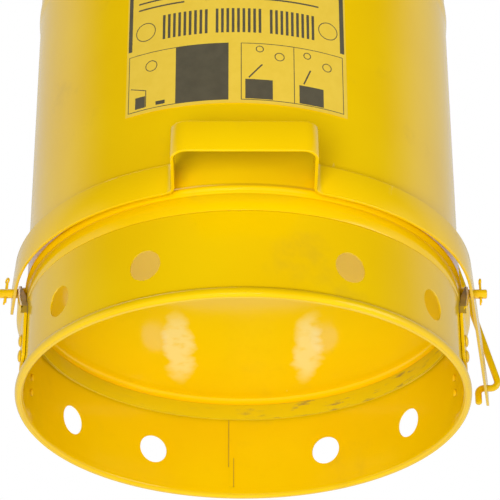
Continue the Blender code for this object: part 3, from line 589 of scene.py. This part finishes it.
def build_label(film, ink):
    """The film with plain bars, blocks, rings and strokes where the printed matter would be."""
    bm = bmesh.new()
    base = WALL_R + GAP
    patch(bm, LABEL_AZ - LABEL_HALF, LABEL_AZ + LABEL_HALF, LABEL_LOW, LABEL_TOP, base, FILM, 0)
    r = base + FILM
    low, high = TILES_LOW, TILES_HIGH
    frame_line(bm, -30.7, -3.9, low, high, r)
    patch(bm, -17.5, -3.9, low, high, r, INK_FILM, 1)
    frame_line(bm, -0.8, 26.0, low, high, r)
    patch(bm, 12.6, 12.8, low, high, r, FINE_INK, 1)
    for a0, a1, z0, z1 in LABEL_BLOCKS:
        patch(bm, a0, a1, z0, z1, r, INK_FILM, 1)
    for a0, a1, count in ((-21.2, -9.3, 9), (-7.2, 4.4, 9), (6.6, 18.2, 9)):
        step = (a1 - a0) / (count - 0.5)
        for i in range(count):
            patch(bm, a0 + i * step, a0 + (i + 0.5) * step, 0.1978, 0.2170, r, INK_FILM, 1)
    for i in range(4):
        z = 0.2245 + i * 0.0052
        patch(bm, -28.2, -15.5 - (i % 3) * 2.1, z, z + 0.0012, r, FINE_INK, 1)
        patch(bm, -10.0, 19.5 - (i % 2) * 4.0, z, z + 0.0012, r, FINE_INK, 1)
    patch(bm, -26.5, 22.0, 0.2520, 0.2680, r, INK_FILM, 1)
    for azimuth, z, size in LABEL_RINGS:
        ring = [(azimuth + math.degrees(x / r), z + y) for x, y in arc(0, 0, size, 0, 360, 28)]
        stroke(bm, ring, 0.0006, r)
    for line, width in LABEL_STROKES:
        stroke(bm, line, width, r)
    mesh = bpy.data.meshes.new("front_label")
    bm.to_mesh(mesh)
    bm.free()
    shade(mesh)
    piece("label", mesh, [film, ink], "root", "front_label")


# ---------------------------------------------------------------- pedal and side hardware
def arm_x(y):
    """How far out the straight arms stand at a place along the can."""
    end = math.atan(1 / SLOPE)
    return RING_R * math.sin(end) + SLOPE * (y + RING_R * math.cos(end))


def yoke_half():
    """The right half of the yoke's middle line: the tab, its fillet and the ring."""
    half, front, corner, fillet = TAB_HALF, TAB_FRONT, TAB_CORNER, TAB_FILLET
    path = [(0, -front), (half * 0.4, -front)] + arc(half - corner, corner - front, corner, -90, 0, 14)
    across = half + fillet
    down = math.sqrt((RING_R + fillet) ** 2 - across ** 2)
    start = math.degrees(math.atan2(across, down))
    path += arc(across, -down, fillet, 180, 90 + start, 12)
    end = math.degrees(math.atan(1 / SLOPE))
    return path + arc(0, 0, RING_R, start - 90, end - 90, 44)[1:]


def build_yoke(mat):
    half = yoke_half()
    line = [(-arm_x(LEFT_ARM_END), LEFT_ARM_END)] + [(-x, y) for x, y in half[:0:-1]] + half
    line.append((arm_x(RIGHT_ARM_END), RIGHT_ARM_END))
    left, right = [], []
    for i, point in enumerate(line):
        before, after = Vector(line[max(i - 1, 0)]), Vector(line[min(i + 1, len(line) - 1)])
        along = (after - before).normalized()
        side = Vector((-along.y, along.x)) * YOKE_HALF_SHEET
        left.append(Vector(point) + side)
        right.append(Vector(point) - side)
    outline = [tuple(p) for p in left + right[::-1]]
    low, high = PIVOT_Z - YOKE_HALF_HEIGHT, PIVOT_Z + YOKE_HALF_HEIGHT
    mesh = new_mesh("yoke", *prism(outline, low, high, lambda x, y, z: AXIS + Vector((x, y, z))))
    holes = [cylinder(AXIS + Vector((s * arm_x(0), 0, PIVOT_Z)), (1, 0, 0), PIN_R + HOLE_PLAY, 0.02)
             for s in (-1, 1)]
    rod_hole = AXIS + Vector((arm_x(ROD_Y), ROD_Y, PIVOT_Z))
    holes.append(cylinder(rod_hole, (1, 0, 0), ROD_R + HOLE_PLAY, 0.02))
    shade(mesh)
    mesh = bevel(cut(mesh, holes), 0.0004, 3, 50)
    shade(mesh, 30)
    piece("yoke", mesh, mat, "pedal", "pedal_yoke")


def bracket_outline(half):
    """The bracket seen from the side: rounded lower corners, sloping shoulders and an arched top."""
    corner = BRACKET_CORNER
    outline = [(half, BRACKET_SHOULDER)] + arc(0, BRACKET_TOP - CROWN_R, CROWN_R, 43, 137, 20)
    outline += [(-half, BRACKET_SHOULDER)] + arc(corner - half, CORNER_Z, corner, 180, 270, 10)
    return outline + arc(half - corner, CORNER_Z, corner, 270, 360, 10)


def side_prism(outline, side):
    """A (y, z) outline made into a block that reaches through the bracket's whole depth."""
    return prism(outline, side * 0.139, side * 0.159, lambda y, z, x: AXIS + Vector((x, y, z)))


def pocket_wall(half, side, low, high):
    """The turned-in edge that closes the raised top of a bracket against the skirt."""
    wall_low, crown_z, rim = 0.0515, BRACKET_TOP - CROWN_R, []
    for inset in (0.0, 0.0009):
        wide, shoulder = half - inset, BRACKET_SHOULDER - inset / 2
        crown = arc(0, crown_z, CROWN_R - inset, 43, 137, 20)
        rim.append([(wide, wall_low), (wide, shoulder)] + crown + [(-wide, shoulder), (-wide, wall_low)])
    mesh = new_mesh("pocket wall", *side_prism(rim[0] + rim[1][::-1], side))
    shade(mesh)
    keep = [(low, 0.05), (high, 0.05), (high, 0.0892), (low, 0.0720)]
    return cut(mesh, [revolve(keep, STEPS)], "INTERSECT")


def build_bracket(side, name, mat, shade_mat):
    low, high, sheet, angle = BRACKET_LOW_R, BRACKET_HIGH_R, BRACKET_SHEET, BRACKET_HALF_ANGLE
    heights = [(0.0160, low), (0.0518, low), (0.0530, low + 0.0006), (0.0548, low + 0.0018)]
    heights += [(0.0566, high - 0.0004), (0.0580, high), (0.0700, high), (0.0920, high)]
    count = 48
    verts, faces = [], []
    for extra in (0.0, sheet):
        for z, r in heights:
            for i in range(count + 1):
                verts.append(around(side * 90 - angle + 2 * angle * i / count, r + extra, z))
    rows, row = len(heights), count + 1
    for shift in (0, rows * row):
        for k in range(rows - 1):
            for i in range(count):
                a = shift + k * row + i
                faces.append([a, a + 1, a + row + 1, a + row])
    outer = rows * row
    for k in range(rows - 1):
        for i in (0, count):
            faces.append([k * row + i, (k + 1) * row + i, outer + (k + 1) * row + i, outer + k * row + i])
    for k in (0, rows - 1):
        for i in range(count):
            a = k * row + i
            faces.append([a, a + 1, outer + a + 1, outer + a])
    mesh = new_mesh(name, verts, faces)
    shade(mesh)
    half = FOOT_R * math.sin(math.radians(angle)) - GAP
    mesh = cut(mesh, [side_prism(bracket_outline(half), side)], "INTERSECT")
    mesh = cut(mesh, [cylinder(AXIS + Vector((side * FOOT_R, 0, PIVOT_Z)), (1, 0, 0), PIN_R + GAP, 0.02)])
    mesh = bevel(mesh, 0.00045, 3, 50)
    wall = pocket_wall(half, side, low, high + 0.0006)
    # The pocket wall takes the painted shade material: painted shade under the bracket's raised top.
    for face in wall.polygons:
        face.material_index = 1
    bm = bmesh.new()
    bm.from_mesh(mesh)
    bm.from_mesh(wall)
    bm.to_mesh(mesh)
    bm.free()
    shade(mesh, 30)
    piece(name, mesh, [mat, shade_mat], "root", name)


def pointed(place_at, direction):
    """A matrix that puts a part's own Z along a direction."""
    return Matrix.Translation(place_at) @ Vector(direction).to_track_quat("Z", "Y").to_matrix().to_4x4()


def build_pin(side, name, mat):
    length, head, r, edge = PIN_TIP - PIN_START, PIN_HEAD, PIN_R, 0.0003
    profile = [(0, length), (r - 0.0008, length), (r - edge, length - 0.0002), (r, length - 0.0007)]
    profile += [(r, head + edge), (r + edge, head), (PIN_HEAD_R - edge, head), (PIN_HEAD_R, head - edge)]
    profile += [(PIN_HEAD_R, edge), (PIN_HEAD_R - edge, 0), (0, 0)]
    place = pointed(AXIS + Vector((side * PIN_START, 0, PIVOT_Z)), (side, 0, 0))
    mesh = new_mesh(name, *revolve(profile, 40, place, False))
    shade(mesh)
    hole = AXIS + Vector((side * COTTER_X, 0, PIVOT_Z))
    mesh = cut(mesh, [cylinder(hole, (0, 0, 1), COTTER_HOLE_R, 0.02, 24)])
    shade(mesh)
    piece(name, mesh, mat, "root", name)


def build_cotter(name, place_at, above, below, mat, body, turn=0.0, lean=0.0):
    """A split pin: two legs through the hole, and an eye above it."""
    wire, eye = COTTER_WIRE, COTTER_EYE
    spread, eye_z = wire, above - eye
    neck = eye_z - 1.4 * eye
    loop = arc(0, eye_z, eye, 247, -67, 26)
    flat = [(-spread * 1.3, -below), (-spread, -below * 0.5), (-spread, neck)] + loop
    flat += [(spread, neck), (spread, -below * 0.5), (spread * 1.9, -below - 0.0008)]
    turned, leant = (Matrix.Rotation(math.radians(a), 4, axis) for a, axis in ((turn, "Z"), (lean, "X")))
    place = Matrix.Translation(place_at) @ turned @ leant
    mesh = new_mesh(name, *tube([place @ Vector((0, y, z)) for y, z in flat], wire, 12))
    shade(mesh, 40)
    piece(name, mesh, mat, body, name)


def build_rivet(name, seat, direction, grip, mat, body):
    """A domed head outside, a shank through the sheets, and a low domed tail inside."""
    profile = []
    for x in range(90, -1, -10):
        a = math.radians(x)
        profile.append((RIVET_HEAD_R * math.cos(a), RIVET_HEAD * math.sin(a)))
    profile += [(RIVET_HEAD_R - 0.0001, -0.0001), (RIVET_SHANK_R, -0.0001), (RIVET_SHANK_R, -grip)]
    for x in range(0, 91, 15):
        a = math.radians(x)
        profile.append((RIVET_TAIL_R * math.cos(a), -grip - RIVET_TAIL * math.sin(a)))
    profile[0], profile[-1] = (0, RIVET_HEAD), (0, -grip - RIVET_TAIL)
    mesh = new_mesh(name, *revolve(profile, 32, pointed(seat, direction), False))
    shade(mesh, 45)
    piece(name, mesh, mat, body, name)


def build_rod(mat):
    low_x = arm_x(ROD_Y)
    corners = [(low_x - HOOK_IN, ROD_Y, PIVOT_Z - 0.0115), (low_x - HOOK_IN, ROD_Y, PIVOT_Z)]
    corners += [(low_x + 0.01, ROD_Y, PIVOT_Z), (ROD_TOP_X, CRANK_Y, CRANK_Z)]
    corners.append((ROD_TOP_X - 0.0245, CRANK_Y, CRANK_Z))
    hook, rest = bend_path(corners[:3], 0.0045, 12), bend_path(corners[1:], 0.0055, 14)
    path = [AXIS + p for p in hook[:-1] + rest[1:]]
    mesh = new_mesh("linkage_rod", *tube(path, ROD_R, 24))
    shade(mesh, 45)
    hole = AXIS + Vector((ROD_COTTER_X, CRANK_Y, CRANK_Z))
    mesh = cut(mesh, [cylinder(hole, (0, 0, 1), COTTER_HOLE_R, 0.02, 24)])
    shade(mesh, 40)
    piece("rod", mesh, mat, "rod", "linkage_rod")


def refine(node, mat, body, width):
    """A CAD node's own shape with its edges rounded and its curves shaded smooth."""
    mesh = frame["nodes"][node].data.copy()
    mesh = bevel(mesh, width, 2, 35)
    shade(mesh, 30)
    piece(node + "_finished", mesh, mat, body, node)


# ---------------------------------------------------------------- light, floor and camera
def world_light():
    """A white studio for the camera. As a light it is bright behind, beside and below the can."""
    world = bpy.data.worlds.new("studio")
    bpy.context.scene.world = world
    world.use_nodes = True
    tree = world.node_tree
    g = Graph(tree)
    back = tree.nodes["Background"]
    way = g.node("ShaderNodeSeparateXYZ", Vector=g.node("ShaderNodeTexCoord").outputs["Generated"])
    behind = g.ramp(way.outputs["Y"], -0.15, 0.35)
    beside = g.ramp(g.math("ABSOLUTE", way.outputs["X"]), 0.83, 0.99)
    below = g.ramp(g.math("MULTIPLY", way.outputs["Z"], -1.0), -0.02, 0.30)
    path = g.node("ShaderNodeLightPath")
    camera, glossy = path.outputs["Is Camera Ray"], path.outputs["Is Glossy Ray"]
    share = g.math("SUBTRACT", BELOW_SHARE, g.math("MULTIPLY", glossy, BELOW_GLOSS_CUT))
    below = g.math("MULTIPLY", below, share)
    bright = g.math("MAXIMUM", g.math("MAXIMUM", behind, beside), below)
    level = g.math("ADD", g.math("MULTIPLY", bright, WORLD_BRIGHT), WORLD_DIM)
    g.feed(back.inputs["Strength"], g.math("MAXIMUM", camera, level))
    back.inputs["Color"].default_value = (1, 1, 1, 1)


def area_light(name, place, target, size, energy, mirrored):
    """A soft round lamp the camera can't see; glossy surfaces show it only if it is mirrored."""
    data = bpy.data.lights.new(name, "AREA")
    data.shape, data.size, data.energy = "DISK", size, energy
    obj = bpy.data.objects.new(name, data)
    obj.location = place
    obj.rotation_mode = "QUATERNION"
    obj.rotation_quaternion = (Vector(target) - Vector(place)).to_track_quat("-Z", "Y")
    obj.visible_camera, obj.visible_glossy = False, mirrored
    bpy.context.scene.collection.objects.link(obj)


def build_floor():
    """A pale floor seen from above only: from below the can is seen against the white studio."""
    reach = FLOOR_HALF
    corners = [(-reach, -reach, 0), (reach, -reach, 0), (reach, reach, 0), (-reach, reach, 0)]
    mesh = new_mesh("floor", corners, [[0, 1, 2, 3]])
    floor = bpy.data.objects.new("floor", mesh)
    floor.location.z = -FLOOR_DROP
    bpy.context.scene.collection.objects.link(floor)
    mat = bpy.data.materials.new("floor")
    mat.use_nodes = True
    tree = mat.node_tree
    g = Graph(tree)
    shader = tree.nodes["Principled BSDF"]
    place = g.node("ShaderNodeTexCoord").outputs["Object"]
    pale = g.mix(g.noise(place, 3.0, 3.0), (0.84, 0.84, 0.83, 1), (0.80, 0.80, 0.79, 1))
    g.feed(shader.inputs["Base Color"], pale)
    shader.inputs["Roughness"].default_value = 0.9
    shader.inputs["Emission Color"].default_value = (1.0, 1.0, 0.99, 1)
    shader.inputs["Emission Strength"].default_value = FLOOR_GLOW
    clear = g.node("ShaderNodeBsdfTransparent")
    blend = g.node("ShaderNodeMixShader")
    g.feed(blend.inputs["Fac"], g.node("ShaderNodeNewGeometry").outputs["Backfacing"])
    tree.links.new(shader.outputs[0], blend.inputs[1])
    tree.links.new(clear.outputs[0], blend.inputs[2])
    tree.links.new(blend.outputs[0], tree.nodes["Material Output"].inputs["Surface"])
    mesh.materials.append(mat)
    floor.visible_diffuse = floor.visible_glossy = floor.visible_shadow = False


def build_camera():
    yaw, pitch, roll = (math.radians(a) for a in CAMERA_TURN)
    ahead = Vector((math.sin(yaw) * math.cos(pitch), math.cos(yaw) * math.cos(pitch), math.sin(pitch)))
    right = Vector((math.cos(yaw), -math.sin(yaw), 0))
    up = right.cross(ahead)
    right, up = math.cos(roll) * right + math.sin(roll) * up, math.cos(roll) * up - math.sin(roll) * right
    data = bpy.data.cameras.new("camera")
    data.lens, data.sensor_width, data.clip_end = CAMERA_LENS, 36, 20
    camera = bpy.data.objects.new("camera", data)
    turned = Matrix((right, up, -ahead)).transposed().to_4x4()
    camera.matrix_world = Matrix.Translation(AXIS + CAMERA_PLACE) @ turned
    bpy.context.scene.collection.objects.link(camera)
    bpy.context.scene.camera = camera


# ---------------------------------------------------------------- build
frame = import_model()

coat = coat_material("coat", (0.94, 0.615, 0.0), (0.91, 0.575, 0.0), 0.15, 1.0)
skirt_coat = coat_material("skirt coat", (0.94, 0.615, 0.0), (0.91, 0.575, 0.0), 0.15, 1.0, skirt_tint_and_shade)
pan_coat = coat_material("pan coat", (0.96, 0.62, 0.0), (0.94, 0.60, 0.0), 0.10, 0.5, pan_reflections_and_marks)
# Painted shade: a deep olive for the seam's shadow lines and the brackets' pocket walls.
painted_shade = film_material("painted shade", (0.42, 0.27, 0.02), (0.30, 0.19, 0.02), 0.5)
hard = coat_material("hardware coat", (0.93, 0.59, 0.002), (0.88, 0.53, 0.002), 0.20, 0.7)
film = film_material("film", (0.90, 0.63, 0.065), (0.87, 0.60, 0.055), 0.38)
ink = film_material("ink", (0.115, 0.100, 0.062), (0.095, 0.083, 0.052), 0.42)

build_shell(coat)
build_skirt(skirt_coat, painted_shade)
build_pan(pan_coat)
build_lid(coat)
build_label(film, ink)
build_yoke(coat)
build_rod(coat)
for side, label in ((-1, "left"), (1, "right")):
    build_bracket(side, "pivot_bracket_" + label, coat, painted_shade)
    build_pin(side, "pivot_pin_" + label, hard)
    turn, lean = (38.0, 6.5) if side < 0 else (8.0, 0.0)
    hole = AXIS + Vector((side * COTTER_X, 0, PIVOT_Z))
    build_cotter("pivot_cotter_" + label, hole, 0.0112, 0.0068, hard, "root", turn, lean)
    seat = BRACKET_LOW_R + BRACKET_SHEET + GAP
    places = [(side * a, z) for a in (90 - RIVET_AZ, 90 + RIVET_AZ) for z in RIVET_Z]
    for i, (azimuth, z) in enumerate(places):
        grip = seat - (WALL_R + 0.0001 - SHEET - RIVET_STAND)
        build_rivet(f"bracket_rivet_{label}_{i + 1}", around(azimuth, seat, z),
                    around(azimuth, 1, 0) - AXIS, grip, hard, "root")
for i, (azimuth, z) in enumerate([(a, z) for a in (172.5, 187.5) for z in (0.3285, 0.3450)]):
    build_rivet(f"hinge_rivet_{i + 1}", around(azimuth, WALL_R + 0.0026, z), around(azimuth, 1, 0) - AXIS,
                0.0026 + SHEET + RIVET_STAND, hard, "root")
for i, (y, x) in enumerate([(y, x) for y in (0.1085, 0.1310) for x in (-0.018, 0.018)]):
    r = math.hypot(x, y)
    slope = (dome(r - 0.001, 0) - dome(r + 0.001, 0)) / 0.002
    normal = Vector((0, slope, 1)).normalized()
    seat = AXIS + Vector((x, y, dome(r, LID_TOP))) + normal * 0.0037
    build_rivet(f"lid_rivet_{i + 1}", seat, normal, 0.0052, hard, "lid")
build_cotter("shaft_cotter", AXIS + Vector((-0.0375, HINGE_Y, HINGE_Z)), 0.0095, 0.0080, hard, "lid", 6.0)
rod_end = AXIS + Vector((ROD_COTTER_X, CRANK_Y, CRANK_Z))
build_cotter("rod_cotter", rod_end, 0.0085, 0.0060, hard, "rod", -8.0)
for node, mat, body, width in (
        ("lid_hinge_strap", coat, "lid", 0.0004), ("body_hinge_bracket", coat, "root", 0.0004),
        ("hinge_shaft", hard, "lid", 0.0003), ("lid_crank", coat, "lid", 0.0004),
        ("rod_washer", hard, "rod", 0.0002)):
    refine(node, mat, body, width)

world_light()
centre = AXIS + Vector((0, 0, 0.15))
for name, offset, size, energy, mirrored in LIGHTS:
    area_light(name, centre + Vector(offset), centre, size, energy, mirrored)
build_floor()
build_camera()
bpy.context.scene.view_settings.view_transform = "Standard"
